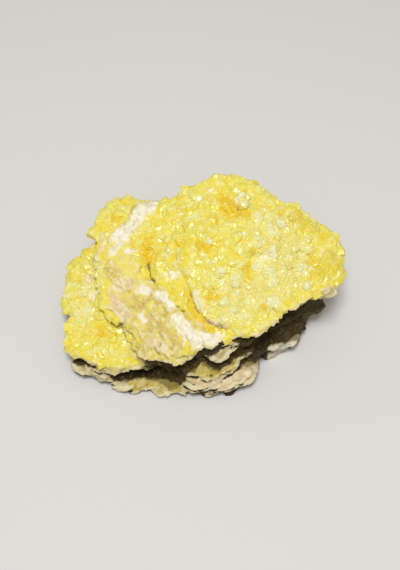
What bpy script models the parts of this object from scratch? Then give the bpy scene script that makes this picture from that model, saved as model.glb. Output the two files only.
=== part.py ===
"""Native sulfur on its own rock: one loose hand specimen, about 100 mm across.

The rock is a stack of broken beds. An overhanging cap carries the crust of sulfur crystals,
and a shelf, thinner ledges and a foot stand out below it, round a core that rests on the ground.
Everything grew as one piece, so the beds, lumps and crystals are fused into one closed solid.

Lengths in this file are millimetres unless a name says otherwise; Blender's scene is in metres.
The front of the specimen faces -Y, +X is its right, and z = 0 is the ground it rests on.
"""

import math
import random

import bmesh
import bpy
from mathutils import Euler, Vector, noise
from mathutils.kdtree import KDTree

MM = 0.001

# Each bed is an outline of its upper rim, (x, y, z) at its corners, run clockwise seen from above,
# starting at the back left. "thick" is how deep the bed is, "shrink" the size of its lower rim as a
# share of the upper, and "lean" how far that lower rim is shifted in x and y: together they undercut.
CAP = {
    "rim": [
        (-33, 32.4, 24), (-27, 32.8, 25), (-19, 31.8, 26), (-12, 30.8, 29), (-4, 32.8, 32),
        (1.5, 34.6, 34), (6.5, 36.8, 35), (14, 36.8, 35), (20.4, 35, 35), (22.4, 30, 34),
        (26.2, 28.8, 33), (28, 25.8, 33), (36, 24, 32), (43, 18.8, 31), (48.8, 13.4, 30),
        (49.2, 7.2, 30), (50.8, 0, 29),
        (48, -7, 28), (41.5, -9.8, 30), (34, -15.2, 30), (26, -20, 29), (18, -25, 28), (13, -25.2, 28),
        (6, -27.5, 26), (0, -29, 25), (-5.5, -31, 22), (-10, -32, 20), (-15, -31, 18), (-19, -28.5, 17),
        (-22.5, -25, 17), (-25, -18, 18), (-31, -13, 19), (-35, -6.5, 20), (-38, 0, 22),
        (-40, 7, 23), (-39, 14.5, 24), (-39.5, 21, 24), (-37.5, 27.5, 24),
    ],
    "thick": 6.5, "shrink": 0.90, "lean": (0, 2.6),
}
LEFT_LOBE = {
    "rim": [
        (-30, 22, 20), (-40, 20, 17), (-45, 15, 15.5), (-49, 8.5, 14.5), (-49.6, 1, 13.5),
        (-49, -4, 12.5), (-46.5, -9.5, 12), (-38, -14, 14), (-28, -10, 18),
    ],
    "thick": 6, "shrink": 0.92, "lean": (1.5, 1),
}
SHELF = {
    "rim": [
        (-22, -6, 14), (-38, -6, 13), (-45, -10, 12.5), (-48.8, -17.5, 12), (-48, -22.5, 12),
        (-44.8, -25.6, 12), (-36, -28.2, 12.5), (-31, -29, 12.5), (-21, -29, 12.8),
        (-12, -28.4, 13), (0, -26.6, 13),
    ],
    "thick": 3, "shrink": 0.96, "lean": (0.5, 0.8),
}
SHELF_LIP = {
    "rim": [
        (-38, -20, 10), (-38, -27.8, 10), (-34.6, -30.6, 9.8), (-32, -32, 9.4), (-29.4, -31.6, 9.6),
        (-24.4, -30.2, 9.8), (-19, -29.2, 10), (-14, -28.8, 10.3), (-9, -28.2, 10.6), (-10, -20, 11),
    ],
    "thick": 1.9, "shrink": 0.95, "lean": (0, 1.4),
}
LOWER_SHELF = {
    "rim": [
        (-24, -8, 8), (-40, -10, 8), (-45.6, -17, 7.5), (-47.2, -24, 7), (-46.6, -26.8, 6),
        (-43.6, -28.8, 5.5), (-38, -30.2, 5.5), (-34.4, -31.6, 5), (-31, -30, 5.5), (-22, -24, 7),
    ],
    "thick": 3, "shrink": 0.95, "lean": (1, 1),
}
UPPER_STREAK = {
    "rim": [
        (-2, -18, 23), (0, -27.2, 22.5), (5, -27.8, 22.5), (10, -26.2, 23.5), (15, -24, 24.5),
        (20, -19, 25),
    ],
    "thick": 1.8, "shrink": 0.97, "lean": (0, 0.4),
}
LOWER_STREAK = {
    "rim": [
        (-5, -18, 19), (-2, -28, 18.5), (4, -30, 18.5), (8.5, -28.8, 19.3), (12.5, -26.8, 20.3),
        (16, -24.7, 21), (20, -19, 21),
    ],
    "thick": 2.2, "shrink": 0.97, "lean": (0, 0.8),
}
BAND = {
    "rim": [
        (-18, -10, 19), (-19, -21, 17), (-12, -25, 18), (-2, -25.5, 20), (8, -24.5, 22), (17, -20, 24),
        (24, -14, 24), (22, -4, 24),
    ],
    "thick": 18, "shrink": 1.02, "lean": (0, -1.2),
}
FRONT_LEDGE = {
    "rim": [
        (-8, -20, 14), (-5.5, -31, 12.5), (0, -33.8, 12), (3.5, -33.6, 12.2), (6.5, -32.3, 12.8),
        (11, -29.8, 13.6), (15, -27, 14.2), (19, -23, 14.5), (20, -14, 15),
    ],
    "thick": 3, "shrink": 0.95, "lean": (0, 1),
}
LEFT_FOOT = {
    "rim": [
        (-28.8, -33.8, 3.4), (-24.6, -31.2, 5), (-19.6, -29.9, 5.4), (-14, -30.5, 5.4), (-9, -30.9, 5.4),
        (-4.8, -31.8, 5.2), (-2.8, -34.8, 2.8), (-5.4, -36.8, 2), (-9.7, -37.9, 1.6), (-15.4, -35.5, 2.4),
        (-17.9, -33.3, 3.6), (-22.6, -33, 3.8), (-25.4, -34.2, 3), (-28.8, -35, 2.8),
    ],
    "thick": 3, "shrink": 0.98, "lean": (0.3, 0.6),
}
RIGHT_FOOT = {
    "rim": [
        (-8, -20, 9.5), (-4.6, -33.6, 8.5), (-2, -35.6, 7.5), (4, -35.2, 8.4), (11, -34.6, 8.4),
        (15, -33.2, 8), (18.2, -28.7, 8.2), (19.7, -25, 9), (21, -14, 9),
    ],
    "thick": 9, "shrink": 0.98, "lean": (0, 0.5),
}
FOOT_BASE = {
    "rim": [
        (-34, -16, 5), (-34.5, -28.5, 4.5), (-31.6, -31.8, 4), (-28.5, -32.6, 3), (-25.5, -30.8, 2.4),
        (-20, -31.6, 2.2), (-13, -33.4, 2), (-9, -34.8, 2), (-4, -34, 3),
        (2, -18, 5),
    ],
    "thick": 5, "shrink": 0.96, "lean": (0, 0.4),
}
BUTTRESS = {
    "rim": [
        (10, 4, 20), (14, -17, 20), (22, -14.5, 21), (31, -10.5, 23), (39, -6, 25), (45, -2.5, 25),
        (46, 6, 25), (40, 14, 24), (20, 18, 22),
    ],
    "thick": 15, "shrink": 0.98, "lean": (-1.8, -4),
}
TOE = {
    "rim": [
        (8, -10, 11), (18, -23.3, 10), (25, -21.7, 9), (31.5, -19.9, 7), (35.2, -16.6, 6.5),
        (36.8, -11, 8), (40.2, -5, 11), (40, 6, 11), (33, 12, 10), (12, 10, 10),
    ],
    "thick": 10.5, "shrink": 0.97, "lean": (-1, 0.4),
}
BACK_UPPER = {
    "rim": [
        (-36, 22, 20), (-30, 29, 20), (-18, 30.5, 21), (-4, 32.5, 24), (4, 35, 25), (14, 36, 26),
        (22, 32, 25), (30, 25, 25), (39, 19, 24), (45, 11, 24), (20, 8, 26), (-20, 8, 22),
    ],
    "thick": 6, "shrink": 0.97, "lean": (0, -1),
}
BACK_MIDDLE = {
    "rim": [
        (-38, 15, 13), (-31, 26, 13), (-19, 33, 13), (-5, 33, 14), (5, 38, 15), (15, 39, 16),
        (24, 34, 15), (33, 26, 15), (41, 16, 14), (43, 6, 14), (20, 4, 16), (-20, 4, 14),
    ],
    "thick": 6, "shrink": 0.96, "lean": (0, -1.5),
}
BACK_LOWER = {
    "rim": [
        (-33, 13, 6), (-27, 24, 6), (-12, 29, 7), (2, 30, 7), (12, 35, 7.5), (22, 32, 7),
        (31, 23, 7), (36, 12, 6.5), (30, 2, 7), (-20, 2, 6),
    ],
    "thick": 6, "shrink": 0.9, "lean": (0, -1),
}
CORE = {
    "rim": [
        (-33, 20, 20), (-10, 26, 22), (18, 28, 24), (36, 15, 24), (42, 2, 24), (34, -9, 22),
        (18, -19, 20), (-6, -24, 14), (-24, -24, 10), (-36, -19, 9), (-42, -4, 11), (-41, 9, 14),
    ],
    "thick": 22, "shrink": 0.85, "lean": (0, 0),
}
BEDS = [
    CAP, LEFT_LOBE, SHELF, SHELF_LIP, LOWER_SHELF, UPPER_STREAK, LOWER_STREAK, BAND, FRONT_LEDGE,
    LEFT_FOOT, RIGHT_FOOT, FOOT_BASE, BUTTRESS, TOE, BACK_UPPER, BACK_MIDDLE, BACK_LOWER, CORE,
]

# Rounded rises (+) and hollows (-) of the upper surface: centre x, y, half widths in x and y, height.
SWELLS = [
    (10, 10, 20, 14, 5.5),     # the main dome
    (14.5, 24.5, 4.2, 4.0, 3.0),   # the round nodule at the back
    (7.5, 22, 3.2, 5.0, -2.6),     # the hollow beside it
    (30, 4, 7, 9, 2.0),
    (39, 14, 6, 4, 1.2),
    (35, -1, 4, 5, -1.0),      # crease inside the right margin
    (44, 2, 4, 4, 0.8),
    (-29, 25, 5, 5, 1.8),      # back left block
    (-22.5, 21, 2.6, 9, 1.6),      # the pale ridge beside it
    (-19, 8, 4, 8, -1.6),      # trough between that ridge and the dome
    (-25, 2, 8, 8, 1.6),
    (-6, 4, 6, 6, 1.5),
    (2.5, -14, 7, 6, 2.2),     # lobe near the front rim
    (-6, -12, 2.2, 6, -1.8),   # groove left of that lobe
    (22, -9, 8, 5, 1.4),
    (-14, -18, 6, 6, 1.2),
    (-43, 4, 4, 6, 1.2),
    (-37, -18, 6, 4, 1.0),
]

# The beds dip gently to the left, and each one weathers back by a different amount.
BEDDING_NORMAL = Vector((-0.26, -0.10, 0.96)).normalized()
BEDDING_PITCH = 3.2
BEDDING_DEPTH = 2.2

CHIP_SIZE = 6.0            # broken rock is made of flat chips this wide
CHIP_DEPTH = 3.6
CHIP_UNDER_CRUST = 0.3     # the share of that depth that still shows below the crystals
WAVE_SIZE = 13.0           # slow swells that run over the whole rock
WAVE_DEPTH = 0.9
GRAIN_SIZE = 3.2           # the finest roughness
GRAIN_DEPTH = 0.25

# The underside is uneven, with hollows this deep; it rests on a pad and on some patches round it.
UNDERSIDE_WAVE = 17.0
UNDERSIDE_DEPTH = 2.6
PAD = (-3, -6)
PAD_RADIUS = 13.0
PAD_DROP = 3.0

# A surface is upper, and may carry crystals, where it faces up and lies above the ledges.
UPPER_FACING = (0.35, 0.8)
UPPER_HEIGHT = (8, 14)

CRYSTAL_COUNT = 620
CRYSTAL_RADIUS = (1.2, 2.3)
CRYSTAL_LEAST_FACING = 0.45
CRYSTAL_TILT = 0.6         # radians from straight out of the rock
CRYSTAL_STEEPNESS = 1.15   # how much longer a crystal is than it is wide
CRYSTAL_WAIST = 0.72       # from its middle to its faces, as a share of its radius
CRYSTAL_STANDS_OUT = 0.55  # how far it stands out at most, as a share of its radius
CRYSTAL_GROUND = 0.5       # how far the surface lies back between crystals

SWEEP = Vector((1, 0.618, 0.377))  # an odd direction, along which no two points tie

UNION_VOXEL = 1.1
SURFACE_VOXEL = 0.85
MOST_TRIANGLES = 8900
SEED = 7


def clear_scene():
    for obj in list(bpy.data.objects):
        bpy.data.objects.remove(obj)


def add_bed(bm, bed):
    """One bed: its rim filled, and a lower rim drawn down and in from it."""
    corners = [Vector(p) * MM for p in bed["rim"]]
    middle = sum(corners, Vector()) / len(corners)
    top = bm.faces.new([bm.verts.new(p) for p in corners])
    drawn = bmesh.ops.extrude_face_region(bm, geom=[top])["geom"]
    lean = Vector((bed["lean"][0], bed["lean"][1], -bed["thick"])) * MM
    for vert in [v for v in drawn if isinstance(v, bmesh.types.BMVert)]:
        x, y, z = vert.co
        vert.co = Vector((
            middle.x + (x - middle.x) * bed["shrink"],
            middle.y + (y - middle.y) * bed["shrink"],
            z,
        )) + lean


def stacked_beds():
    """All the beds in one mesh, overlapping, before they are united."""
    bm = bmesh.new()
    for bed in BEDS:
        add_bed(bm, bed)
    bmesh.ops.triangulate(bm, faces=bm.faces, ngon_method="BEAUTY")
    bmesh.ops.recalc_face_normals(bm, faces=bm.faces)
    mesh = bpy.data.meshes.new("beds")
    bm.to_mesh(mesh)
    bm.free()
    return mesh


def largest_piece(bm):
    """Removes the crumbs that an uneven surface sheds, and keeps the one main body."""
    unseen = set(bm.verts)
    pieces = []
    while unseen:
        piece, edge_of_piece = set(), [unseen.pop()]
        while edge_of_piece:
            vert = edge_of_piece.pop()
            piece.add(vert)
            near = {e.other_vert(vert) for e in vert.link_edges} & unseen
            unseen -= near
            edge_of_piece.extend(near)
        pieces.append(piece)
    pieces.sort(key=len)
    crumbs = [vert for piece in pieces[:-1] for vert in piece]
    bmesh.ops.delete(bm, geom=crumbs, context="VERTS")


def numbered_by_place(bm):
    """Sorts the points and faces along one sweep, so that every run numbers them alike."""
    bm.verts.sort(key=lambda vert: vert.co.dot(SWEEP))
    bm.faces.sort(key=lambda face: face.calc_center_median().dot(SWEEP))


def with_modifier(mesh, kind, **settings):
    """The mesh as one modifier leaves it."""
    holder = bpy.data.objects.new("holder", mesh)
    bpy.context.scene.collection.objects.link(holder)
    modifier = holder.modifiers.new(kind.title(), kind)
    for name, value in settings.items():
        setattr(modifier, name, value)
    graph = bpy.context.evaluated_depsgraph_get()
    changed = bpy.data.meshes.new_from_object(holder.evaluated_get(graph))
    bpy.data.objects.remove(holder)
    return changed


def remeshed(mesh, voxel):
    return with_modifier(mesh, "REMESH", mode="VOXEL", voxel_size=voxel * MM)


def step(low, high, value):
    """0 below low, 1 above high, and smooth between."""
    t = min(1.0, max(0.0, (value - low) / (high - low)))
    return t * t * (3 - 2 * t)


def rough(point, size, octaves=3):
    """Fractal roughness between about -1 and 1, with lumps of that size."""
    return noise.fractal(point / size, 1.0, 2.1, octaves)


def upper_share(point, normal):
    """1 on the upper surface, 0 on the sides and below."""
    return step(*UPPER_FACING, normal.z) * step(*UPPER_HEIGHT, point.z)


def swell_height(point):
    """How far the named rises and hollows lift the upper surface here."""
    return sum(
        height * math.exp(-((point.x - x) / wide) ** 2 - ((point.y - y) / deep) ** 2)
        for x, y, wide, deep, height in SWELLS
    )


def bed_offset(index, point):
    """How far the bed of that index stands out here, between about -0.5 and 0.5."""
    return noise.noise(Vector((index * 7.31, point.x / 16, point.y / 16)))


def bed_relief(point):
    """How far the beds stand out (+) or are weathered back (-), with a groove where two meet."""
    layer = (point.dot(BEDDING_NORMAL) + 1.2 * rough(point, 14, 2)) / BEDDING_PITCH
    index = math.floor(layer)
    joint = step(0.72, 1.0, layer - index)
    here = bed_offset(index, point)
    above = bed_offset(index + 1, point)
    return here + (above - here) * joint - 0.35 * joint


def chip(point):
    """Flat faces at odd angles with low steps between them, the way broken rock comes apart."""
    _, corners = noise.voronoi(point / CHIP_SIZE)
    facing = noise.noise_vector(corners[0] * 5.3)
    return (point / CHIP_SIZE - corners[0]).dot(facing)


def underside(point):
    """How high the bottom of the rock lies here; the ground cuts off what lies below 0."""
    level = Vector((point.x, point.y, 0))
    from_pad = math.hypot(point.x - PAD[0], point.y - PAD[1]) / PAD_RADIUS
    return UNDERSIDE_DEPTH * rough(level, UNDERSIDE_WAVE, 4) - PAD_DROP * math.exp(-from_pad ** 4)


def moved(mesh, shift):
    """The mesh with each point moved by shift(point, normal), both in millimetres."""
    bm = bmesh.new()
    bm.from_mesh(mesh)
    largest_piece(bm)
    numbered_by_place(bm)
    bm.normal_update()
    for vert in bm.verts:
        vert.co += shift(vert.co / MM, vert.normal) * MM
    changed = bpy.data.meshes.new(mesh.name)
    bm.to_mesh(changed)
    bm.free()
    return changed


def broken_form(point, normal):
    """The large relief: swells on top, weathered beds on the sides, chips, and the underside."""
    upper = upper_share(point, normal)
    side = 1 - step(*UPPER_FACING, abs(normal.z))
    lift = Vector((0, 0, swell_height(point) * upper))
    outward = (
        WAVE_DEPTH * rough(point, WAVE_SIZE)
        + BEDDING_DEPTH * bed_relief(point) * side
        + CHIP_DEPTH * chip(point) * (1 - (1 - CHIP_UNDER_CRUST) * upper)
    )
    shift = lift + normal * outward
    shift.z = max(shift.z, underside(point) - point.z)
    return shift


def crystal_seats(mesh):
    """Where the crystals grow on the upper surface: centre, radius and axis of each."""
    pick = random.Random(SEED)
    lowest = UPPER_HEIGHT[0] * MM
    upper = [v for v in mesh.vertices if v.normal.z > CRYSTAL_LEAST_FACING and v.co.z > lowest]
    seats = []
    for vert in pick.sample(upper, CRYSTAL_COUNT):
        tilt = Euler((
            pick.uniform(-CRYSTAL_TILT, CRYSTAL_TILT),
            pick.uniform(-CRYSTAL_TILT, CRYSTAL_TILT),
            pick.uniform(0, math.tau),
        ))
        axis = vert.normal.to_track_quat("Z", "Y") @ tilt.to_quaternion()
        seats.append((vert.co / MM, pick.uniform(*CRYSTAL_RADIUS), axis))
    return seats


def bipyramid_faces():
    """The eight directions that the faces of a steep bipyramid look in."""
    return [
        Vector((math.cos(turn), math.sin(turn), sign / CRYSTAL_STEEPNESS)).normalized()
        for turn in (math.pi / 4 + k * math.pi / 2 for k in range(4))
        for sign in (1, -1)
    ]


def crystal_cover(mesh):
    """A shift that raises the surface to the flat faces of the crystals seated on it."""
    seats = crystal_seats(mesh)
    tree = KDTree(len(seats))
    for index, (centre, _, _) in enumerate(seats):
        tree.insert(centre, index)
    tree.balance()
    faces = bipyramid_faces()
    turned = [[axis @ face for face in faces] for _, _, axis in seats]

    def face_height(point, normal, centre, index):
        """How far along the normal the crystal's nearest face lies from this point."""
        radius = seats[index][1]
        height = min(
            (radius * CRYSTAL_WAIST - (point - centre).dot(face)) / max(normal.dot(face), 0.12)
            for face in turned[index]
            if normal.dot(face) > 0
        )
        return min(height, CRYSTAL_STANDS_OUT * radius)

    def shift(point, normal):
        grain = GRAIN_DEPTH * rough(point, GRAIN_SIZE)
        if normal.z < UPPER_FACING[0] or point.z < UPPER_HEIGHT[0]:
            return normal * grain
        near = tree.find_range(point, CRYSTAL_RADIUS[1] * 1.5)
        heights = [face_height(point, normal, centre, index) for centre, index, _ in near]
        return normal * (max([0.0] + heights) - CRYSTAL_GROUND + grain)

    return shift


def flat_footed(mesh):
    """The mesh cut off level at the ground, with the cut filled."""
    bm = bmesh.new()
    bm.from_mesh(mesh)
    bmesh.ops.triangulate(bm, faces=bm.faces)
    cut = bmesh.ops.bisect_plane(
        bm, geom=bm.verts[:] + bm.edges[:] + bm.faces[:], dist=1e-6,
        plane_co=(0, 0, 0), plane_no=(0, 0, 1), clear_inner=True,
    )
    edges = [e for e in cut["geom_cut"] if isinstance(e, bmesh.types.BMEdge)]
    bmesh.ops.holes_fill(bm, edges=edges, sides=0)
    largest_piece(bm)
    bmesh.ops.recalc_face_normals(bm, faces=bm.faces)
    changed = bpy.data.meshes.new("specimen")
    bm.to_mesh(changed)
    bm.free()
    return changed


def thinned(mesh):
    """The mesh with its flat stretches joined into fewer, larger faces."""
    mesh.calc_loop_triangles()
    ratio = MOST_TRIANGLES / len(mesh.loop_triangles)
    return with_modifier(mesh, "DECIMATE", ratio=ratio, use_collapse_triangulate=True)


def sulfur_material():
    material = bpy.data.materials.new("sulfur_rock")
    material.use_nodes = True
    shader = material.node_tree.nodes["Principled BSDF"]
    shader.inputs["Base Color"].default_value = (0.78, 0.62, 0.10, 1)
    shader.inputs["Roughness"].default_value = 0.42
    shader.inputs["Metallic"].default_value = 0.0
    return material


def centred(mesh):
    """The mesh moved level, so that the middle of its outline is over the origin."""
    for axis in (0, 1):
        places = [v.co[axis] for v in mesh.vertices]
        middle = (min(places) + max(places)) / 2
        for vert in mesh.vertices:
            vert.co[axis] -= middle
    return mesh


def build_specimen():
    noise.seed_set(SEED)
    rock = remeshed(stacked_beds(), UNION_VOXEL)
    rock = remeshed(moved(rock, broken_form), SURFACE_VOXEL)
    rock = moved(rock, crystal_cover(rock))
    rock = centred(flat_footed(thinned(rock)))
    rock.shade_flat()
    rock.materials.append(sulfur_material())
    specimen = bpy.data.objects.new("sulfur_specimen", rock)
    bpy.context.scene.collection.objects.link(specimen)


clear_scene()
build_specimen()
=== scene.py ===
# Native sulfur specimen: yellow crystals grown over a broken, bedded rock.
# The specimen faces -Y and lies on z = 0. Shapes and zones are given in millimetres,
# and mm turns them into the metres of the scene.
import math

import bmesh
import bpy
import numpy as np
from mathutils import Matrix, Vector, noise
from mathutils.bvhtree import BVHTree


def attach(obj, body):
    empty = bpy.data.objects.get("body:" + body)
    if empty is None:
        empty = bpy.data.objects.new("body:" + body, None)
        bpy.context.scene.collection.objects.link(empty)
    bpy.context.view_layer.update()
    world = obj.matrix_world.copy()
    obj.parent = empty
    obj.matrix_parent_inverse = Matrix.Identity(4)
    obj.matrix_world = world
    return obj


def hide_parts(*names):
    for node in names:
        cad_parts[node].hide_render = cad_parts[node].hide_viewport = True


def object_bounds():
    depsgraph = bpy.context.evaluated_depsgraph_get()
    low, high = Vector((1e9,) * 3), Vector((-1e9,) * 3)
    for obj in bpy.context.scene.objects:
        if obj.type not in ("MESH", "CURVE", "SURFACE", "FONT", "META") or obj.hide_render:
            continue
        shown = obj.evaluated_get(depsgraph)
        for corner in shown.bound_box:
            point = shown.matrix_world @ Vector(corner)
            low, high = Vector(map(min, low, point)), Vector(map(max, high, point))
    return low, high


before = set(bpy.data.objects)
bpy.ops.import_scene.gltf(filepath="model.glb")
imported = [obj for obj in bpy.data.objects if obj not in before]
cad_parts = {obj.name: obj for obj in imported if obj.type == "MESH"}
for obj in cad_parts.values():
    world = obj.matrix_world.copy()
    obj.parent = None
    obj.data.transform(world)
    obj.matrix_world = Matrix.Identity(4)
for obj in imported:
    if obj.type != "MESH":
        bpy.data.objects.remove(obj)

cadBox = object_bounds()
mm = 0.001
goldenTurn = 2.4             # radians from one to the next, so that turns never line up


def smoothStep(low, high, value):
    # 0 at low, 1 at high, and eased between them
    share = np.clip((value - low) / (high - low), 0, 1)
    return share * share * (3 - 2 * share)


def roughness(points, size, octaves=3, shift=0.0):
    # fractal noise, about -1 to 1, with lumps of that size
    moved = points / size + shift
    return np.array([noise.fractal(p, 1.0, 2.1, octaves) for p in moved])


def cells(points, size, shift=0.0):
    # the points in units of that size, with the distance to the nearest cell and its middle
    moved = points / size + shift
    near, middle = [], []
    for p in moved:
        distance, corner = noise.voronoi(p)
        near.append(distance[0])
        middle.append(corner[0][:])
    return moved, np.array(near), np.array(middle)


def alongLine(points, line):
    # distance from each point to a line of (x, y), and which side it lies on: right is positive
    best = np.full(len(points), 1e9)
    side = np.zeros(len(points))
    flat = points[:, :2]
    corners = np.array(line, float)
    if len(corners) == 1:
        return np.linalg.norm(flat - corners[0], axis=1), side
    for start, end in zip(corners[:-1], corners[1:]):
        run = end - start
        share = np.clip((flat - start) @ run / (run @ run), 0, 1)
        away = flat - start - share[:, None] * run
        distance = np.linalg.norm(away, axis=1)
        nearer = distance < best
        turn = (away[:, 0] * run[1] - away[:, 1] * run[0]) / np.linalg.norm(run)
        best[nearer] = distance[nearer]
        side[nearer] = turn[nearer]
    return best, side


def zone(points, lines, wobble):
    # 1 inside the strokes and 0 outside, with an edge that wobbles in and out
    share = np.zeros(len(points))
    for line, width in lines:
        distance, _ = alongLine(points, line)
        share = np.maximum(share, 1 - smoothStep(0.7, 1.25, distance / width + wobble))
    return share


rock = {
    "voxel": 0.54,           # width of a face of the finished surface
    "softening": 5,          # rounds taken off the flat facets of the solid
    "inset": 0.45,           # room left for the crystals to stand in
    "crustFloor": (8.5, 18.0),    # crystals grow above this height, at the left and at the right
    "floorStep": (-22, -10),      # the stretch of x where the one becomes the other
    "footTop": (9, 11),           # the foot ends between these heights
    "mustardTop": (14, 16),
    "frontReach": (-16, 8),       # the stretch of y where the painted shade of the front recesses dies out
    "greenishShare": 0.65,        # how pale the greenish ground is, against the pale lumps
    "outlineSize": 2.0,      # unevenness of the zones' outlines
    "outlineWobble": 0.5,
    "raggedWobble": 0.6,     # the same for the most ragged zones
    "bedding": (-0.26, -0.10, 0.96),
    "bedWaves": ((1.2, 9.0), (0.4, 2.6)),    # height and length of the waves in the beds
    "bedReach": 8.0,         # how far along itself a bed stands out by the same amount
    "laminaPitch": 1.9,      # thickness of one thin bed on the broken sides
    "laminaDepth": 1.0,
    "finePitch": 0.45,       # the finest beds, against the thin ones
    "fineDepth": 0.35,
    "chipSize": 2.6,
    "chipDepth": 1.0,
    "lumpSize": 5.6,         # rounded lumps under the crystals
    "lumpHeight": 1.1,
    "crustSwellSize": 5.5,
    "crustSwell": 0.7,
    "streakAlong": (0.59, -0.81, 0.0),    # the way the torn rock of the ramp is drawn out
    "streakAcross": (0.81, 0.59, 0.0),
    "ridgeLength": 4.5,
    "ridgeWidth": 1.1,
    "ridgeDepth": 0.60,
    "swellSize": 3.2,
    "swellDepth": 0.55,
    "grainSize": 0.9,
    "grainDepth": 0.14,
    "hollowRounds": 14,      # smoothing of the surface that hollows are measured against
    "nearRays": (12, 75, 8.0),    # looking for rock close by, for the painted shade: how many, degrees off, how far
    "skyRays": (7, 18, 30.0),     # looking for rock overhead, for the painted shadow
    "seed": 7,
}

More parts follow.
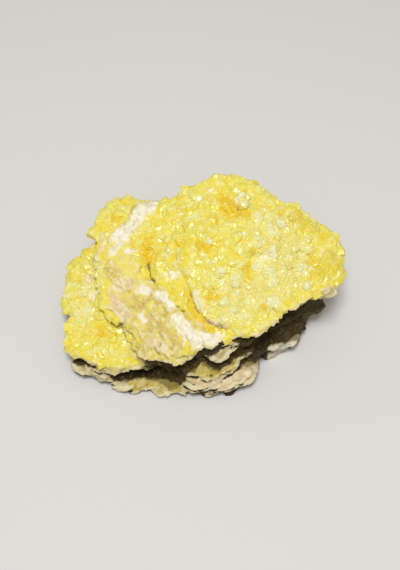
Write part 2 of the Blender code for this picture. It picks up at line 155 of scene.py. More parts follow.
# Strokes over the surface, each as its points (x, y) and its half width
strokes = {
    # whitish scars of bare rock
    "white": [
        ([(-18.4, 27.6), (-23.9, 19.5), (-28.8, 15.1)], 2.9),
        ([(-28, 13.4), (-31.5, 9)], 1.5),
        ([(-25.7, 9.2)], 1.4),
        ([(-21.4, -4.6), (-18.5, -5.2)], 1.5),
        ([(-14.7, -7.2), (-10.8, -9.6), (-10.3, -12.8)], 1.4),
        ([(-8, -17), (-5.2, -21), (-3.6, -24)], 2.4),
        ([(-3.2, -25.2), (1.3, -25.4), (6, -25.6)], 2.5),
        ([(-21.2, -14.3), (-19.6, -16.4)], 1.0),
    ],
    # crystals frosted almost white
    "frost": [
        ([(-12.1, -0.2), (-8.6, -0.7)], 1.7),
        ([(-38.8, -2.9)], 1.7),
        ([(-11.1, 6.7)], 1.2),
        ([(-7.8, 3.0)], 1.2),
        ([(-2.1, -10.2), (-0.7, -13.0), (0.8, -15.4)], 1.1),
        ([(12.6, 23.3)], 1.7),
        ([(-6.6, 22.2)], 1.0),
        ([(-3.9, 19.5), (-1.6, 18.8)], 0.9),
        ([(0.2, 26.4)], 1.0),
        ([(-4.4, 26.7)], 0.9),
        ([(4.5, 24.7)], 0.9),
        ([(21.5, 2.5), (24.5, 2.0)], 1.5),
        ([(3.7, 30.8)], 1.1),
        ([(3.1, 7.7)], 0.9),
        ([(42.9, 5.2)], 1.1),
        ([(38.8, -1)], 0.9),
        ([(14.7, 9.6)], 0.9),
        ([(-20.9, 7)], 0.9),
    ],
    # bare rock with a pinkish cast
    "pink": [
        ([(-29.6, -3.2), (-25, -2.5)], 1.8),
        ([(-30.5, -8.4), (-29, -11), (-26.9, -14.1)], 2.4),
        ([(-17, -23.6), (-12.4, -26.9)], 1.6),
        ([(-40.5, 2.7)], 1.8),
        ([(-36.1, 17.5), (-35.6, 12.5), (-37.1, 9.2), (-38.2, 6.8)], 0.9),
        ([(2.3, -18.6), (5.2, -20.8), (8.6, -22)], 0.8),
    ],
    # the bare, beige rims of the beds at the front
    "lip": [
        ([(1.5, -28), (7, -27.5), (12.5, -24.6), (17.6, -25.6),
          (25.5, -20), (33.5, -15.1), (41, -9.6), (47.5, -6.5)], 0.8),
        ([(-25, -24.5), (-19, -29), (-12, -31.5), (-4, -30.5), (2, -28.5)], 1.3),
        ([(-46, -25.5), (-40, -28), (-34, -30.4), (-28, -31), (-20, -30.2), (-12, -29.4)], 1.7),
    ],
    # bare, streaky rock with crystals only here and there
    "broken": [
        ([(-29.5, 8.5), (-27, -1), (-24.5, -9), (-18.5, -18), (-12, -26)], 6.6),
        ([(-19, -5), (-11, -14), (-7, -19), (0, -25)], 4.4),
        ([(-22.8, 25.5), (-27.8, 18.5), (-31.8, 14)], 2.0),
    ],
    # the smooth yellow top of the ramp
    "lemon": [
        ([(-30.5, 9.5), (-25, 4.5), (-21, 0)], 5.0),
    ],
    # dull yellow rock low at the front: the ledge, then the left of the foot
    "mustard": [
        ([(-4.2, -31.6), (0.8, -31.4), (5.8, -30.4), (10.8, -29.5), (14.5, -27.5)], 3.0),
        ([(-23.6, -32.5), (-14.5, -32.4), (-8, -34.4)], 2.6),
    ],
    # the pinkish block at the right of the foot
    "rosy": [
        ([(-1.9, -36.1), (3.4, -36.2), (8.6, -35.5), (15.7, -31.7)], 4.5),
    ],
    # where the left lobe and the shelf meet the ramp: spared most of the painted shade
    "seam": [
        ([(-37.5, 8), (-34, -5), (-31.5, -12), (-27, -17), (-24.4, -21.5), (-21.6, -26.3)], 3.0),
    ],
    # the pale lip of the lowest bed at the right
    "toe": [
        ([(25.4, -21.9), (29.6, -20.5), (34.1, -18.8)], 1.2),
    ],
    # deep orange pockets
    "amber": [
        ([(8.4, 26.5), (9.9, 22), (12.4, 19.7), (15.9, 17.5)], 2.4),
        ([(5.7, 15.4)], 1.2),
        ([(-17.8, 13.5), (-20.1, 9), (-17.6, 6)], 2.2),
        ([(-4, -8.5), (-3.2, -12.5), (-1.8, -16.5), (0, -19.3), (3.4, -21.5), (7.4, -23.3)], 1.3),
        ([(16.7, -0.9), (16, -5.2)], 1.3),
        ([(5.4, -11), (2.9, -11.5)], 1.7),
        ([(28.9, 19.4)], 1.4),
        ([(35.2, 20.3)], 1.3),
        ([(39.2, 2)], 1.5),
        ([(21.6, -15.9)], 1.7),
        ([(-6.9, 8.9)], 2.0),
        ([(-0.5, 7.2), (3.4, 5.5)], 1.6),
        ([(-31.8, 23.1)], 1.6),
        ([(-35.6, -17.5)], 2.4),
    ],
    # greenish-white lumps of fine crystals
    "pale": [
        ([(14.7, 23.8)], 3.3),
        ([(29.1, 15.2), (24.9, 11)], 2.4),
        ([(27.5, 6.2), (22.1, 1)], 2.6),
        ([(31.5, 3.5), (31.9, -2.5)], 2.8),
        ([(34.9, 0.7)], 1.8),
        ([(17, -9.5), (11.6, -9.8)], 2.0),
        ([(7.4, -4.6)], 1.9),
        ([(34.9, -6.8), (37.3, -8.1)], 2.4),
        ([(19.4, -2)], 1.8),
        ([(24.8, -16), (21.1, -12.5)], 2.1),
        ([(-41.2, -7), (-42.6, -6.4)], 2.4),
        ([(3.2, 7.7)], 1.3),
        ([(3, 20.3)], 1.4),
        ([(0.6, 26.8), (-3.8, 25)], 1.3),
        ([(-6.7, 22.2)], 1.3),
        ([(-34.6, 13.5)], 2.0),
    ],
    # the paler ground of the right half and of the left lobe
    "greenish": [
        ([(24.4, 12.5), (31.4, 1.5), (22.4, -8.5), (10.4, -14.5)], 9.0),
        ([(-41.6, -8.5), (-40.0, -2.0), (-37.6, 3.5)], 4.8),
    ],
    # the largest, glassiest crystals
    "large": [
        ([(39.4, 1.5), (43.4, -0.5), (47.2, 1)], 3.0),
        ([(40.4, -3.7), (44.4, -4.1)], 2.4),
        ([(34.4, 19.5), (39.4, 14.5)], 2.5),
    ],
}

# Breaks in the upper surface: how deep the crack is, and how far its right side (going along
# the line) stands above its left. Nothing grows in an open crack, and its inside is dark brown,
# partly its own colour and partly painted shade.
breaks = [
    {"line": [(-24.8, 15.9), (-22.1, 17.7), (-19.9, 21), (-19.2, 24.7), (-18.1, 28.5)],
     "depth": 0.5, "width": 0.5, "rise": -1.1, "reach": 3.5},
    {"line": [(-18.8, 5.7), (-18.2, 2.4), (-17.1, -0.7), (-15.5, -3.6)],
     "depth": 1.5, "width": 0.55, "rise": -0.8, "reach": 3.0, "open": 0.9},
    {"line": [(-3.6, -8.5), (-2.4, -12.2), (-1.0, -15.4), (1.2, -18), (4.4, -20.6), (8.6, -22.4)],
     "depth": 1.3, "width": 0.5, "rise": -1.3, "reach": 4.0, "open": 0.7},
    {"line": [(-8.6, -11.5), (-7.1, -13.2), (-5.6, -14.7)],
     "depth": 1.1, "width": 0.45, "rise": -0.5, "reach": 2.0, "open": 0.8},
    {"line": [(-34.2, -10.3), (-32.1, -12.7), (-29.9, -14.5), (-27.1, -15.3)],
     "depth": 1.2, "width": 0.5, "rise": -0.7, "reach": 2.5},
    {"line": [(-30.6, -8.9), (-29.4, -11.1), (-28.1, -11.6), (-25.6, -11.1)],
     "depth": 0.9, "width": 0.35, "rise": 0.3, "reach": 1.5},
    {"line": [(-21.6, -18.4), (-20, -21.5), (-17.5, -24.6), (-15.5, -26.7)],
     "depth": 0.7, "width": 0.3, "rise": 0.3, "reach": 1.5},
    {"line": [(-12.6, -23.6), (-10.5, -26.4), (-8.4, -29.5)],
     "depth": 0.7, "width": 0.3, "rise": -0.3, "reach": 1.5},
    {"line": [(-29.6, -9.6), (-28.4, -10.6), (-26.2, -10.2)],
     "depth": 0.5, "width": 0.25, "rise": 0.2, "reach": 1.0},
    {"line": [(27.9, 13.5), (29.9, 9), (32, 6.1), (34.5, 4.9), (37.4, 3.5)],
     "depth": 0.9, "width": 0.9, "rise": -0.4, "reach": 3.0},
    {"line": [(39.4, 6.1), (43, 5.8), (48.9, 5.1)],
     "depth": 0.8, "width": 0.6, "rise": 0.9, "reach": 3.0},
    {"line": [(6.9, 28.5), (6.2, 24.5), (8, 21), (11.4, 18.9)],
     "depth": 0.5, "width": 1.2, "rise": 0.0, "reach": 3.0},
    {"line": [(-22.4, -21.1), (-21.2, -23.1), (-19.8, -23.9)],
     "depth": 0.9, "width": 0.4, "rise": 0.4, "reach": 1.5},
]

# Rounded knobs as (x, y, radius, height), each in a ring-shaped dip
knobs = [
    (14.7, 23.8, 3.7, 0.8),
    (3.0, 7.9, 2.2, 0.6),
    (34.9, 0.7, 2.6, 0.8),
    (29.1, 15.2, 3.0, 0.8),
]


def cadCopy(name):
    # the solid's own mesh, with its loose triangles joined
    bm = bmesh.new()
    bm.from_mesh(bpy.data.objects[name].data)
    bmesh.ops.remove_doubles(bm, verts=bm.verts, dist=1e-6)
    mesh = bpy.data.meshes.new(name + "_copy")
    bm.to_mesh(mesh)
    bm.free()
    return mesh


def remeshed(mesh, voxel):
    holder = bpy.data.objects.new("holder", mesh)
    bpy.context.scene.collection.objects.link(holder)
    modifier = holder.modifiers.new("Remesh", "REMESH")
    modifier.mode = "VOXEL"
    modifier.voxel_size = voxel * mm
    graph = bpy.context.evaluated_depsgraph_get()
    changed = bpy.data.meshes.new_from_object(holder.evaluated_get(graph))
    bpy.data.objects.remove(holder)
    return changed


def arrays(bm):
    # places in millimetres and outward directions
    bm.normal_update()
    places = np.array([v.co[:] for v in bm.verts]) / mm
    outward = np.array([v.normal[:] for v in bm.verts])
    return places, outward


def moveTo(bm, places):
    for vert, at in zip(bm.verts, places * mm):
        vert.co = at


def soften(bm, rounds):
    for _ in range(rounds):
        bmesh.ops.smooth_vert(bm, verts=bm.verts, factor=0.5,
                              use_axis_x=True, use_axis_y=True, use_axis_z=True)


def upperShare(places, outward):
    # the crusted faces: open to the sky, above the floor and behind the front rim
    left, right = rock["crustFloor"]
    floor = left + (right - left) * smoothStep(*rock["floorStep"], places[:, 0])
    rim, _ = strokes["lip"][0]
    _, beyond = alongLine(places, rim)
    behind = 1 - smoothStep(0.0, 1.0, beyond) * smoothStep(0, 2, places[:, 0])
    return smoothStep(0.15, 0.5, outward[:, 2]) * smoothStep(0, 2.5, places[:, 2] - floor) * behind


def openCracks(places):
    # the insides of the open breaks
    shares = [item["open"] * np.exp(-(alongLine(places, item["line"])[0] / (1.1 * item["width"])) ** 2)
              for item in breaks if "open" in item]
    return np.maximum.reduce(shares)


def frontShare(places):
    # 1 on the front and 0 at the back, with an uneven change between them
    depth = places[:, 1] - 0.25 * np.maximum(places[:, 0] - 20, 0)
    return 1 - smoothStep(*rock["frontReach"], depth + 5 * roughness(places, 7, 2, 9.1))


def zones(places, outward):
    # what grows or shows where, as shares from 0 to 1
    upper = upperShare(places, outward)
    aboveFoot = smoothStep(*rock["footTop"], places[:, 2])
    uneven = roughness(places, rock["outlineSize"], 3, 7.7)
    found = {}
    for name, lines in strokes.items():
        ragged = name in ("frost", "greenish")
        wobble = rock["raggedWobble"] if ragged else rock["outlineWobble"]
        found[name] = zone(places, lines, wobble * uneven)
    for name in ("white", "frost", "pink", "lip", "broken", "lemon", "amber", "large"):
        found[name] *= upper
    greenish = rock["greenishShare"] * found.pop("greenish")
    found["pale"] = np.maximum(found["pale"], greenish) * upper
    found["crack"] = openCracks(places) * upper
    bare = [found[name] for name in ("white", "pink", "broken", "lip", "crack")]
    found["crust"] = upper * (1 - np.maximum.reduce(bare))
    found["pink"] = np.maximum(found.pop("rosy") * (1 - aboveFoot), found["pink"])
    found["mustard"] *= 1 - smoothStep(*rock["mustardTop"], places[:, 2])
    found["mustard"] *= 1 - upper
    found["toe"] *= 1 - aboveFoot
    found["seam"] *= aboveFoot
    found["upper"] = upper
    found["front"] = frontShare(places)
    _, near, _ = cells(places, rock["lumpSize"])
    found["lump"] = smoothStep(0.6, 0.2, near)
    return found


def bedProfile(places, pitch, shift):
    # thin beds, each standing out by its own amount and jutting most at its upper edge
    warp = sum(height * roughness(places, length, 2, shift) for height, length in rock["bedWaves"])
    layer = (places @ np.array(rock["bedding"]) + warp) / pitch
    index = np.floor(layer)
    share = layer - index
    reach = rock["bedReach"]
    eachBed = np.stack([places[:, 0] / reach, places[:, 1] / reach, index * 3.7], 1)
    stand = roughness(eachBed, 1.0, 2, shift)
    jut = share - smoothStep(0.82, 1.0, share)
    return 1.2 * stand + 0.8 * jut


def sculptForm(places, outward):
    # lumps and knobs under the crust, thin beds on the sides, and the breaks
    found = zones(places, outward)
    upper = found["upper"]
    lumps = rock["lumpHeight"] * (found["lump"] - 0.5) * found["crust"] * (0.5 + 1.1 * found["pale"])
    side = 1 - smoothStep(0.45, 0.85, np.abs(outward[:, 2]))
    bare = np.maximum(side * (1 - upper), 0.35 * found["broken"])
    pitch, depth = rock["laminaPitch"], rock["laminaDepth"]
    beds = depth * bedProfile(places, pitch, 0.0) * bare
    beds += rock["fineDepth"] * depth * bedProfile(places, rock["finePitch"] * pitch, 4.0) * bare

    lift = np.zeros(len(places))
    for x, y, radius, height in knobs:
        away = np.hypot(places[:, 0] - x, places[:, 1] - y) / radius
        dome = np.sqrt(np.clip(1 - away ** 2, 0, 1))
        dip = np.exp(-((away - 1.2) / 0.2) ** 2)
        lift += height * (dome - dip) * upper
    for item in breaks:
        distance, turn = alongLine(places, item["line"])
        crack = np.exp(-(distance / item["width"]) ** 2)
        raised = np.tanh(turn / (0.6 * item["width"])) * np.exp(-(distance / item["reach"]) ** 2)
        lift += (0.5 * item["rise"] * raised - item["depth"] * crack) * upper
    swells = rock["crustSwell"] * roughness(places, rock["crustSwellSize"], 2, 6.1) * found["crust"]
    move = outward * (lumps + beds + swells - rock["inset"] * found["crust"])[:, None]
    move[:, 2] += lift
    return places + move


def sculptChips(places, outward):
    # small flat chips on bare rock, torn ridges on its upper faces, and a fine grain everywhere
    found = zones(places, outward)
    moved, _, middle = cells(places, rock["chipSize"], 2.3)
    facing = np.array([noise.noise_vector(Vector(m) * 5.3)[:] for m in middle])
    chips = rock["chipDepth"] * ((moved - middle) * facing).sum(1)
    grain = rock["grainDepth"] * roughness(places, rock["grainSize"], 3)
    bare = 1 - found["crust"]
    scar = np.maximum(found["white"], found["broken"]) * found["upper"]
    length, width = rock["ridgeLength"], rock["ridgeWidth"]
    along = places @ np.array(rock["streakAlong"])
    across = places @ np.array(rock["streakAcross"])
    ridges = roughness(np.stack([along / length, across / width, places[:, 2] / length], 1), 1.0, 3, 5.1)
    swells = roughness(places, rock["swellSize"], 2, 8.3)
    torn = scar * (rock["ridgeDepth"] * ridges + rock["swellDepth"] * swells)
    out = chips * bare * (1 - 0.75 * scar) + torn + grain * (0.4 + 0.6 * bare)
    return places + outward * out[:, None]


def groundLevel(places):
    # nothing lies below the table
    places[:, 2] = np.maximum(places[:, 2], 0.0)
    return places


def hollows(bm, places, outward):
    # how far each point lies behind (+) or stands out from (-) its surroundings, in millimetres
    soft = bm.copy()
    soften(soft, rock["hollowRounds"])
    around, _ = arrays(soft)
    soft.free()
    return ((around - places) * outward).sum(1)


def raysWithin(count, spread):
    # directions about +Z, up to that many degrees off it, evenly spread
    lowest = math.cos(math.radians(spread))
    rays = []
    for k in range(count):
        height = 1 - (1 - lowest) * (k + 0.5) / count
        width = math.sqrt(1 - height * height)
        turn = goldenTurn * k
        rays.append(Vector((width * math.cos(turn), width * math.sin(turn), height)))
    return rays


def shelter(tree, places, outward):
    # how far a point is closed in by rock near it, and how far rock hangs over it
    nearCount, nearSpread, nearReach = rock["nearRays"]
    skyCount, skySpread, skyReach = rock["skyRays"]
    near, above = raysWithin(nearCount, nearSpread), raysWithin(skyCount, skySpread)
    closed, hung = np.zeros(len(places)), np.zeros(len(places))
    for i, (at, out) in enumerate(zip(places * mm, outward)):
        out = Vector(out)
        start = Vector(at) + out * (0.3 * mm)
        turn = out.to_track_quat("Z", "Y")
        met = [tree.ray_cast(start, turn @ ray, nearReach * mm)[0] for ray in near]
        closed[i] = sum(hit is not None for hit in met) / nearCount
        met = [tree.ray_cast(start, ray, skyReach * mm)[0] for ray in above]
        hung[i] = sum(hit is not None for hit in met) / skyCount
    return closed, hung


def paint(mesh, shares):
    # one attribute on the mesh for each share, for the finish to read
    for name, values in shares.items():
        layer = mesh.attributes.new(name, "FLOAT", "POINT")
        layer.data.foreach_set("value", np.asarray(values, np.float32))


def buildRock():
    print("rock: surface")
    bm = bmesh.new()
    bm.from_mesh(remeshed(cadCopy("sulfur_specimen"), rock["voxel"]))
    soften(bm, rock["softening"])
    print("rock: lumps, beds and breaks")
    moveTo(bm, sculptForm(*arrays(bm)))
    soften(bm, 1)
    print("rock: chips and grain")
    moveTo(bm, groundLevel(sculptChips(*arrays(bm))))
    places, outward = arrays(bm)
    shares = zones(places, outward)
    for name in ("lip", "broken"):
        del shares[name]     # these two shape the rock and don't colour it
    shares["hollow"] = hollows(bm, places, outward)
    mesh = bpy.data.meshes.new("sulfur_rock")
    bm.to_mesh(mesh)
    bm.free()
    print("rock: recesses")
    tree = BVHTree.FromPolygons([v.co for v in mesh.vertices], [p.vertices for p in mesh.polygons])
    shares["closed"], shares["hung"] = shelter(tree, places, outward)
    paint(mesh, shares)
    mesh.shade_smooth()
    piece = bpy.data.objects.new("sulfur_rock", mesh)
    bpy.context.scene.collection.objects.link(piece)
    print("rock:", len(mesh.polygons), "faces")
    return piece


crust = {
    "spacing": 1.45,         # between neighbouring crystals
    "rowGap": 0.87,          # from row to row, as a share of the spacing
    "scatter": 0.35,         # how far a crystal strays from its seat, as a share of the spacing
    "radius": (1.1, 2.1),
    "smallness": 1.6,        # above 1, small crystals are the commoner
    "edgeSize": 0.3,         # size at the edge of the crust, against its middle
    "cover": 1.2,            # 1 or more: a crystal on every seat of the crust
    "largeGain": 0.3,        # how much larger the glassy crystals are
    "paleLoss": 0.3,         # and how much smaller the pale ones
    "fineSpacing": 1.05,
    "fineRadius": (0.28, 0.56),
    "fineCover": 0.35,
    "finePaleCover": 0.4,    # added on the pale lumps
    "fineTint": (0.4, 1.0),
    "steepest": 0.45,        # upward share of the rock's direction that a crystal needs
    "barest": 0.4,           # share of crust that it needs
    "lean": 0.22,            # radians off the surface's own direction
    "sunk": 0.40,            # how deep a crystal's middle lies, as a share of its radius
    "stretch": (0.85, 1.2),  # height against width
    "patterns": 24,          # different crystal shapes
    "block": 1.7,            # the block that a crystal is broken from, in its own radii
    "cuts": 8,
    "cutReach": (0.66, 0.84),
    "cutRise": (1.0, 3.0),   # how far up a broken face looks
    "topRise": 5.0,
    "seed": 11,
}


def crystalPattern(pick):
    # a block broken along flat faces, most of them turned up, about one unit in radius
    bm = bmesh.new()
    bmesh.ops.create_cube(bm, size=crust["block"])
    for k in range(crust["cuts"]):
        turn = goldenTurn * k + pick.uniform(-0.5, 0.5)
        rise = pick.uniform(*crust["cutRise"]) if k else crust["topRise"]
        facing = Vector((math.cos(turn), math.sin(turn), rise)).normalized()
        reach = pick.uniform(*crust["cutReach"])
        cut = bmesh.ops.bisect_plane(bm, geom=bm.verts[:] + bm.edges[:] + bm.faces[:], dist=1e-5,
                                     plane_co=facing * reach, plane_no=facing, clear_outer=True)
        rim = [e for e in cut["geom_cut"] if isinstance(e, bmesh.types.BMEdge)]
        bmesh.ops.holes_fill(bm, edges=rim, sides=0)
    bmesh.ops.triangulate(bm, faces=bm.faces)
    bmesh.ops.recalc_face_normals(bm, faces=bm.faces)
    corners = np.array([v.co[:] for v in bm.verts])
    faces = np.array([[v.index for v in f.verts] for f in bm.faces])
    bm.free()
    return corners, faces


def crystalSeats(tree, step, pick):
    # a staggered grid of points looked up from above, each with the rock's own direction
    low, high = np.array(cadBox[0]) / mm, np.array(cadBox[1]) / mm
    rise = step * crust["rowGap"]
    scatter = crust["scatter"]
    seats = []
    for row in range(int((high[1] - low[1]) / rise)):
        for column in range(int((high[0] - low[0]) / step)):
            x = low[0] + (column + 0.5 * (row % 2) + pick.uniform(-scatter, scatter)) * step
            y = low[1] + row * rise + pick.uniform(-scatter, scatter) * step
            at, out, _, _ = tree.ray_cast(Vector((x, y, high[2] + 5)) * mm, Vector((0, 0, -1)))
            if at is not None:
                seats.append((*(at / mm), *out))
    seats = np.array(seats)
    return seats[:, :3], seats[:, 3:]


def joinedCrystals(name, grown, patterns, pick):
    # all the crystals in one mesh, each with its own tint, and a share from its foot to its tip
    lean = crust["lean"]
    corners, faces, owner, tips = [], [], [], []
    count = 0
    for i, (at, out, size) in enumerate(zip(grown["at"], grown["out"], grown["size"])):
        own, ownFaces = patterns[pick.integers(len(patterns))]
        turn = (Vector(out).to_track_quat("Z", "Y").to_matrix()
                @ Matrix.Rotation(pick.uniform(-lean, lean), 3, "X")
                @ Matrix.Rotation(pick.uniform(-lean, lean), 3, "Y")
                @ Matrix.Rotation(pick.uniform(0, math.tau), 3, "Z"))
        own = own * (size * np.array([1, 1, pick.uniform(*crust["stretch"])]))
        corners.append(own @ np.array(turn).T + at - out * size * crust["sunk"])
        faces.append(ownFaces + count)
        owner.append(np.full(len(own), i))
        tips.append(smoothStep(0.25, 0.7, own[:, 2] / size))
        count += len(own)
    owner = np.concatenate(owner)
    mesh = bpy.data.meshes.new(name)
    mesh.from_pydata((np.concatenate(corners) * mm).tolist(), [], np.concatenate(faces).tolist())
    paint(mesh, {key: grown[key][owner] for key in ("amber", "pale", "lump", "large", "frost", "tint")})
    paint(mesh, {"tip": np.concatenate(tips)})
    mesh.shade_flat()
    piece = bpy.data.objects.new(name, mesh)
    bpy.context.scene.collection.objects.link(piece)
    print(name + ":", len(grown["at"]), "crystals,", len(mesh.polygons), "faces")
    return piece


def grow(tree, step, radius, wanted, pick):
    # crystals of one size range, where the share asked of each zone lets them stand
    places, outward = crystalSeats(tree, step, pick)
    grown = zones(places, outward)
    grown["at"], grown["out"] = places, outward
    least, most = radius
    edge = crust["edgeSize"]
    grown["size"] = least + (most - least) * pick.random(len(places)) ** crust["smallness"]
    grown["tint"] = pick.random(len(places))
    grown["size"] *= edge + (1 - edge) * smoothStep(crust["barest"], 1.0, grown["crust"])
    stands = pick.random(len(places)) < wanted(grown)
    stands &= (outward[:, 2] > crust["steepest"]) & (grown["crust"] > crust["barest"])
    return {key: values[stands] for key, values in grown.items()}


def coarseShare(found):
    return found["crust"] * crust["cover"]


def fineShare(found):
    # the small ones crowd on the pale lumps
    return found["crust"] * (crust["fineCover"] + crust["finePaleCover"] * found["pale"])


def buildCrystals(rockPiece):
    print("crystals")
    pick = np.random.default_rng(crust["seed"])
    patterns = [crystalPattern(pick) for _ in range(crust["patterns"])]
    mesh = rockPiece.data
    tree = BVHTree.FromPolygons([v.co for v in mesh.vertices], [p.vertices for p in mesh.polygons])
    coarse = grow(tree, crust["spacing"], crust["radius"], coarseShare, pick)
    coarse["size"] *= (1 + crust["largeGain"] * coarse["large"]) * (1 - crust["paleLoss"] * coarse["pale"])
    coarsePiece = joinedCrystals("sulfur_crystals", coarse, patterns, pick)
    grownOver = BVHTree.FromPolygons([v.co for v in coarsePiece.data.vertices],
                                     [p.vertices for p in coarsePiece.data.polygons])
    fine = grow(grownOver, crust["fineSpacing"], crust["fineRadius"], fineShare, pick)
    dull, bright = crust["fineTint"]
    fine["tint"] = dull + (bright - dull) * fine["tint"]
    return [coarsePiece, joinedCrystals("fine_crystals", fine, patterns, pick)]


class Wire:
    # one value inside a material, so that its maths reads as plain maths
    def __init__(self, finish, socket):
        self.finish = finish
        self.socket = socket

    def maths(self, operation, first, second):
        return self.finish.add("ShaderNodeMath", {"operation": operation}, {0: first, 1: second})

    def __add__(self, other):
        return self.maths("ADD", self, other)

    def __radd__(self, other):
        return self.maths("ADD", other, self)

    def __sub__(self, other):
        return self.maths("SUBTRACT", self, other)

    def __rsub__(self, other):
        return self.maths("SUBTRACT", other, self)

    def __mul__(self, other):
        return self.maths("MULTIPLY", self, other)

    def __rmul__(self, other):
        return self.maths("MULTIPLY", other, self)


class Finish:
    # a material and the nodes that make it
    def __init__(self, name):
        self.material = bpy.data.materials.new(name)
        self.material.use_nodes = True
        self.tree = self.material.node_tree
        self.shader = self.tree.nodes["Principled BSDF"]

    def add(self, kind, settings=None, inputs=None, output=0):
        node = self.tree.nodes.new(kind)
        for key, value in (settings or {}).items():
            setattr(node, key, value)
        self.fill(node, inputs or {})
        return Wire(self, node.outputs[output])

    def fill(self, node, inputs):
        for key, value in inputs.items():
            if isinstance(value, Wire):
                self.tree.links.new(value.socket, node.inputs[key])
            else:
                node.inputs[key].default_value = value

    def share(self, name):
        return self.add("ShaderNodeAttribute", {"attribute_name": name}, output="Fac")

    def spot(self):
        # where a point lies, from the origin of its piece
        return self.add("ShaderNodeTexCoord", output="Object")

    def cloud(self, size, detail=2.0, sharp=0.5):
        # noise with lumps of that size in millimetres
        return self.add("ShaderNodeTexNoise", {}, {"Vector": self.spot(), "Scale": 1 / (size * mm),
                                                   "Detail": detail, "Roughness": sharp})

    def streaks(self, size, flatness):
        # noise drawn out along the bedding and thin across it
        across = Vector(rock["bedding"]).rotation_difference(Vector((0, 0, 1))).to_euler()
        laid = self.add("ShaderNodeMapping", {}, {"Vector": self.spot(), "Rotation": across,
                                                  "Scale": (1.0, 1.0, flatness)})
        return self.add("ShaderNodeTexNoise", {}, {"Vector": laid, "Scale": 1 / (size * mm), "Detail": 3.0,
                                                   "Roughness": 0.55, "Distortion": 0.3})

    def ramp(self, value, low, high, to=(0.0, 1.0)):
        # stretches a value so that low becomes to[0] and high becomes to[1], held between them
        return self.add("ShaderNodeMapRange", {"clamp": True, "interpolation_type": "SMOOTHSTEP"},
                        {"Value": value, "From Min": low, "From Max": high,
                         "To Min": to[0], "To Max": to[1]})

    def mix(self, share, first, second):
        # the first colour where the share is 0, the second where it is 1
        return self.add("ShaderNodeMix", {"data_type": "RGBA", "clamp_factor": True},
                        {0: share, 6: first, 7: second}, output=2)


# Linear red, green and blue
palette = {
    "gold": (0.87, 0.75, 0.100, 1),
    "lemon": (0.87, 0.81, 0.19, 1),
    "deepGold": (0.86, 0.68, 0.055, 1),
    # painted glow: the golden colour of light held in the crystals
    "paintedGlow": (0.89, 0.72, 0.040, 1),
    "gap": (0.80, 0.64, 0.075, 1),
    "amber": (0.84, 0.58, 0.024, 1),
    "palest": (0.87, 0.86, 0.44, 1),
    "greenish": (0.86, 0.89, 0.58, 1),
    "honey": (0.76, 0.60, 0.055, 1),
    "white": (0.96, 0.93, 0.80, 1),
    "chalk": (0.90, 0.82, 0.55, 1),
    "primrose": (0.90, 0.78, 0.20, 1),
    "straw": (0.70, 0.55, 0.15, 1),
    "butter": (0.83, 0.71, 0.17, 1),
    "pink": (0.78, 0.59, 0.34, 1),
    "beige": (0.60, 0.49, 0.31, 1),
    "olive": (0.55, 0.45, 0.15, 1),
    "mustard": (0.55, 0.43, 0.075, 1),
    "tan": (0.34, 0.24, 0.11, 1),
    "lip": (0.66, 0.60, 0.48, 1),
    # inside the open cracks: dark brown, partly their own colour and partly painted shade
    "crackBrownAndShade": (0.22, 0.13, 0.025, 1),
    # painted shade: near-black browns for recesses and overhung rock
    "paintedShadeUmber": (0.030, 0.019, 0.004, 1),
    "paintedShadeBark": (0.125, 0.082, 0.032, 1),
}


# Sizes of the patches are in millimetres, and shares say how far a patch covers what is under it
sulfurLook = {
    "lemonPatch": 5.5,       # lemon among the gold
    "palePatch": 2.6,
    "paleShare": 0.7,
    "deepPatch": 3.4,
    "deepShare": 0.8,
    "lumpPaleness": 0.95,
    "gapShare": 0.45,        # deeper yellow between the pale lumps
    "paintedGlow": 0.7,             # painted glow: golden colour standing in for light held in the foot of each crystal
    "paintedGlowLostInPale": 0.4,
    "facetPatch": 0.7,
    "facetRoughness": (0.16, 0.42),
    "ripple": 0.3,
}

rockLook = {
    "patch": 4.0,
    "smallPatch": 2.4,
    "grain": 0.6,
    "streak": 3.0,           # length along the beds, and how many times thinner across them
    "streakThinness": 9.0,
    "thinStreak": 1.6,
    "thinStreakThinness": 12.0,
    "bareRoughness": 0.75,
    "crustRoughness": 0.4,
    "specular": 0.12,        # dry rock hardly shines
    "grainHeight": 0.4,      # against the thin beds
    "paintedShadeBehind": 0.35,      # how much of the painted shade in hollows stays at the back
}


def sulfurColour(finish, tint):
    # the yellow of the crust, from gold to lemon and pale by soft patches, and amber in pockets
    lemon = finish.ramp(finish.cloud(sulfurLook["lemonPatch"], 1.0), 0.38, 0.62)
    colour = finish.mix(lemon, palette["gold"], palette["lemon"])
    pale = finish.ramp(finish.cloud(sulfurLook["palePatch"], 2.0), 0.46, 0.66)
    colour = finish.mix(pale * sulfurLook["paleShare"], colour, palette["palest"])
    deep = finish.ramp(finish.cloud(sulfurLook["deepPatch"], 2.0), 0.52, 0.68)
    colour = finish.mix(deep * sulfurLook["deepShare"], colour, palette["deepGold"])
    colour = finish.mix(finish.ramp(tint, 0.5, 1.0, (0.0, 0.25)), colour, palette["palest"])
    raised = finish.share("pale") * (0.65 + 0.45 * finish.share("lump"))
    colour = finish.mix(raised * sulfurLook["lumpPaleness"], colour, palette["greenish"])
    between = finish.share("pale") * finish.ramp(finish.share("lump"), 0.45, 0.05)
    colour = finish.mix(between * sulfurLook["gapShare"], colour, palette["gap"])
    colour = finish.mix(finish.share("large") * (0.75 - 0.45 * tint), colour, palette["honey"])
    colour = finish.mix(finish.share("frost") * (0.5 + 0.5 * tint), colour, palette["white"])
    return finish.mix(finish.share("amber") * (0.95 - 0.2 * tint), colour, palette["amber"])


def paintedGlowShare(finish):
    # how much painted glow goes in, less on the pale lumps
    return sulfurLook["paintedGlow"] - sulfurLook["paintedGlowLostInPale"] * finish.share("pale")


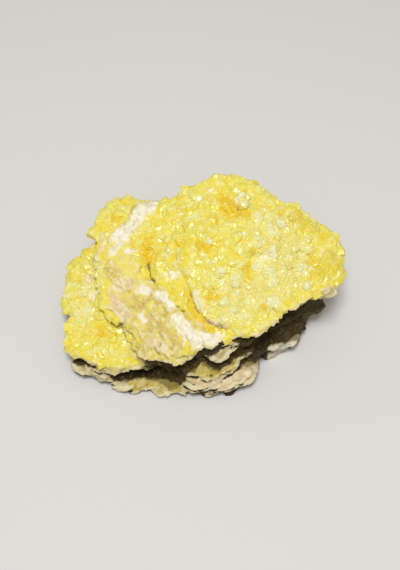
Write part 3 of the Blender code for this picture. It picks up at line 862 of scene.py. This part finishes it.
def sideColour(finish, medium, thinStreak):
    # the broken edges of the beds: beige and olive streaks, mustard low at the front
    streak = finish.streaks(rockLook["streak"], rockLook["streakThinness"])
    broad = finish.cloud(rockLook["patch"], 3.0)
    side = finish.mix(finish.ramp(streak, 0.42, 0.58), palette["beige"], palette["olive"])
    side = finish.mix(finish.ramp(broad, 0.48, 0.64, (0.0, 0.5)), side, palette["chalk"])
    mustard = finish.mix(finish.ramp(medium, 0.42, 0.60), palette["mustard"], palette["straw"])
    side = finish.mix(finish.share("mustard") * 0.9, side, mustard)
    side = finish.mix(finish.ramp(thinStreak, 0.54, 0.70, (0.0, 0.6)), side, palette["tan"])
    return finish.mix(finish.share("toe"), side, palette["lip"])


def topColour(finish, medium, fine):
    # the torn faces that look up: butter and straw with pink, chalk and lemon patches
    broad = finish.cloud(rockLook["patch"], 3.0)
    top = finish.mix(finish.ramp(broad, 0.42, 0.58), palette["butter"], palette["straw"])
    top = finish.mix(finish.ramp(medium, 0.52, 0.66, (0.0, 0.65)), top, palette["pink"])
    top = finish.mix(finish.ramp(medium, 0.46, 0.34, (0.0, 0.85)), top, palette["chalk"])
    top = finish.mix(finish.ramp(fine, 0.54, 0.70, (0.0, 0.5)), top, palette["lemon"])
    smooth = finish.share("lemon") * finish.ramp(medium, 0.38, 0.56, (0.15, 0.85))
    return finish.mix(smooth, top, palette["primrose"])


def bareColour(finish, medium, fine, thinStreak):
    # broken rock without crystals, with pinkish beds and white scars over it
    side = sideColour(finish, medium, thinStreak)
    top = topColour(finish, medium, fine)
    colour = finish.mix(finish.share("upper"), side, top)
    pink = finish.mix(finish.ramp(medium, 0.42, 0.58), palette["pink"], palette["chalk"])
    colour = finish.mix(finish.share("pink") * 0.75, colour, pink)
    white = finish.mix(finish.ramp(fine, 0.42, 0.62, (0.0, 0.7)), palette["white"], palette["chalk"])
    streaky = finish.ramp(medium, 0.64, 0.50, (0.4, 1.0))
    return finish.mix(finish.share("white") * streaky, colour, white)


def rockFinish():
    finish = Finish("bedded_sulfur_rock")
    medium = finish.cloud(rockLook["smallPatch"], 4.0, 0.6)
    fine = finish.cloud(rockLook["grain"], 4.0, 0.6)
    thinStreak = finish.streaks(rockLook["thinStreak"], rockLook["thinStreakThinness"])
    sulfur = sulfurColour(finish, finish.ramp(fine, 0.35, 0.65))
    # painted glow in the crust between the crystals
    sulfur = finish.mix(paintedGlowShare(finish), sulfur, palette["paintedGlow"])
    bare = bareColour(finish, medium, fine, thinStreak)
    colour = finish.mix(finish.ramp(finish.share("crust"), 0.25, 0.6), bare, sulfur)

    # weathered edges are chalky; hollows, closed-in and overhung rock get painted shade, mostly at the
    # front
    uncovered = 1 - finish.share("crust")
    lit = (1 - finish.share("toe")) * (1 - 0.75 * finish.share("seam"))
    behind = rockLook["paintedShadeBehind"]
    # where painted shade may fall: bare rock, mostly below the top, spared on the toe and the seam
    shaded = uncovered * (1 - 0.6 * finish.share("upper")) * lit
    shaded = shaded * (behind + (1 - behind) * finish.share("front"))
    # the painted shade colour, streaked along the beds
    paintedShade = finish.mix(finish.ramp(thinStreak, 0.48, 0.66), palette["paintedShadeUmber"], palette["paintedShadeBark"])
    standing = finish.ramp(finish.share("hollow"), -0.08, -0.4, (0.0, 0.6)) * uncovered
    colour = finish.mix(standing, colour, palette["chalk"])
    # painted shade in hollows
    paintedHollowShade = finish.ramp(finish.share("hollow"), 0.10, 0.5, (0.0, 0.85)) * shaded
    colour = finish.mix(paintedHollowShade, colour, paintedShade)
    # painted shade where nearby rock closes a point in
    closed = finish.ramp(finish.share("closed"), 0.35, 0.8, (0.0, 0.92)) * shaded
    colour = finish.mix(closed, colour, paintedShade)
    # painted shade with dark brown colour inside the open cracks
    cracked = finish.ramp(finish.share("crack"), 0.25, 0.8, (0.0, 0.85))
    colour = finish.mix(cracked, colour, palette["crackBrownAndShade"])
    # painted shadow under rock that hangs overhead, at the front
    paintedOverhangShadow = finish.ramp(finish.share("hung"), 0.05, 0.45, (0.0, 0.97)) * lit * finish.share("front")
    colour = finish.mix(paintedOverhangShadow, colour, paintedShade)

    rough = finish.ramp(finish.share("crust"), 0.2, 0.8,
                        (rockLook["bareRoughness"], rockLook["crustRoughness"]))
    streakHeight = thinStreak * uncovered * (0.6 - 0.5 * finish.share("upper"))
    relief = streakHeight + fine * rockLook["grainHeight"]
    grain = finish.add("ShaderNodeBump", {}, {"Strength": 0.6, "Distance": 0.4 * mm, "Height": relief})
    finish.fill(finish.shader, {"Base Color": colour, "Roughness": rough, "Normal": grain,
                                "Specular IOR Level": rockLook["specular"]})
    return finish.material


def crystalFinish():
    finish = Finish("sulfur_crystal")
    # painted glow: golden at the foot of each crystal, paler towards its tip
    paintedGlowAtFoot = (1 - finish.share("tip")) * paintedGlowShare(finish)
    colour = finish.mix(paintedGlowAtFoot, sulfurColour(finish, finish.share("tint")), palette["paintedGlow"])
    rough = finish.ramp(finish.cloud(sulfurLook["facetPatch"]), 0.35, 0.7, sulfurLook["facetRoughness"])
    ripple = finish.add("ShaderNodeBump", {}, {"Strength": 0.12, "Distance": 0.2 * mm,
                                               "Height": finish.cloud(sulfurLook["ripple"])})
    finish.fill(finish.shader, {"Base Color": colour, "Roughness": rough, "Normal": ripple, "IOR": 1.5})
    return finish.material


view = {
    "elevation": 62.0,       # degrees above the table
    "distance": 0.324,       # metres, as the target is
    "target": (-0.00017, -0.00072, 0.018),
    "lens": 56.84,
    "sensor": 36.0,
    "clip": 0.01,            # nearest distance that is drawn
}


def buildCamera():
    rise = math.radians(view["elevation"])
    back = Vector((0, -math.cos(rise), math.sin(rise)))
    camera = bpy.data.objects.new("camera", bpy.data.cameras.new("camera"))
    camera.data.lens = view["lens"]
    camera.data.sensor_width = view["sensor"]
    camera.data.clip_start = view["clip"]
    camera.location = Vector(view["target"]) + back * view["distance"]
    camera.rotation_euler = back.to_track_quat("Z", "Y").to_euler()
    bpy.context.scene.collection.objects.link(camera)
    bpy.context.scene.camera = camera


studio = {
    "floorHalf": 3.0,        # metres from the middle of the floor to its edge
    "floorColour": (0.74, 0.73, 0.71, 1),
    "keyElevation": 78.0,    # degrees, almost over the camera
    "keyTurn": -8.0,         # degrees round to the left
    "keyDistance": 0.75,
    "keySize": 0.22,
    "keyPower": 3.7,
    "skyColour": (1.0, 0.97, 0.92, 1.0),
    "skyStrength": 0.37,
}


def buildFloor():
    bm = bmesh.new()
    bmesh.ops.create_grid(bm, x_segments=1, y_segments=1, size=studio["floorHalf"])
    mesh = bpy.data.meshes.new("studio_floor")
    bm.to_mesh(mesh)
    bm.free()
    floor = bpy.data.objects.new("studio_floor", mesh)
    bpy.context.scene.collection.objects.link(floor)
    paper = Finish("pale_floor")
    paper.fill(paper.shader, {"Base Color": studio["floorColour"], "Roughness": 0.8})
    mesh.materials.append(paper.material)
    return floor


def buildLight():
    world = bpy.data.worlds.new("studio")
    world.use_nodes = True
    sky = world.node_tree.nodes["Background"]
    sky.inputs["Color"].default_value = studio["skyColour"]
    sky.inputs["Strength"].default_value = studio["skyStrength"]
    bpy.context.scene.world = world

    rise, turn = math.radians(studio["keyElevation"]), math.radians(studio["keyTurn"])
    toward = Vector((math.sin(turn) * math.cos(rise), -math.cos(turn) * math.cos(rise), math.sin(rise)))
    lamp = bpy.data.lights.new("key", "AREA")
    lamp.shape = "DISK"
    lamp.size = studio["keySize"]
    lamp.energy = studio["keyPower"]
    key = bpy.data.objects.new("key", lamp)
    key.location = Vector(view["target"]) + toward * studio["keyDistance"]
    key.rotation_euler = toward.to_track_quat("Z", "Y").to_euler()
    bpy.context.scene.collection.objects.link(key)
    bpy.context.scene.view_settings.view_transform = "Standard"


print("camera and studio")
buildCamera()
buildLight()
buildFloor()

noise.seed_set(rock["seed"])
rockPiece = buildRock()
rockPiece.data.materials.append(rockFinish())
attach(rockPiece, "root")
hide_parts("sulfur_specimen")

crystalSkin = crystalFinish()      # one finish for the large and the small
for piece in buildCrystals(rockPiece):
    piece.data.materials.append(crystalSkin)
    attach(piece, "root")
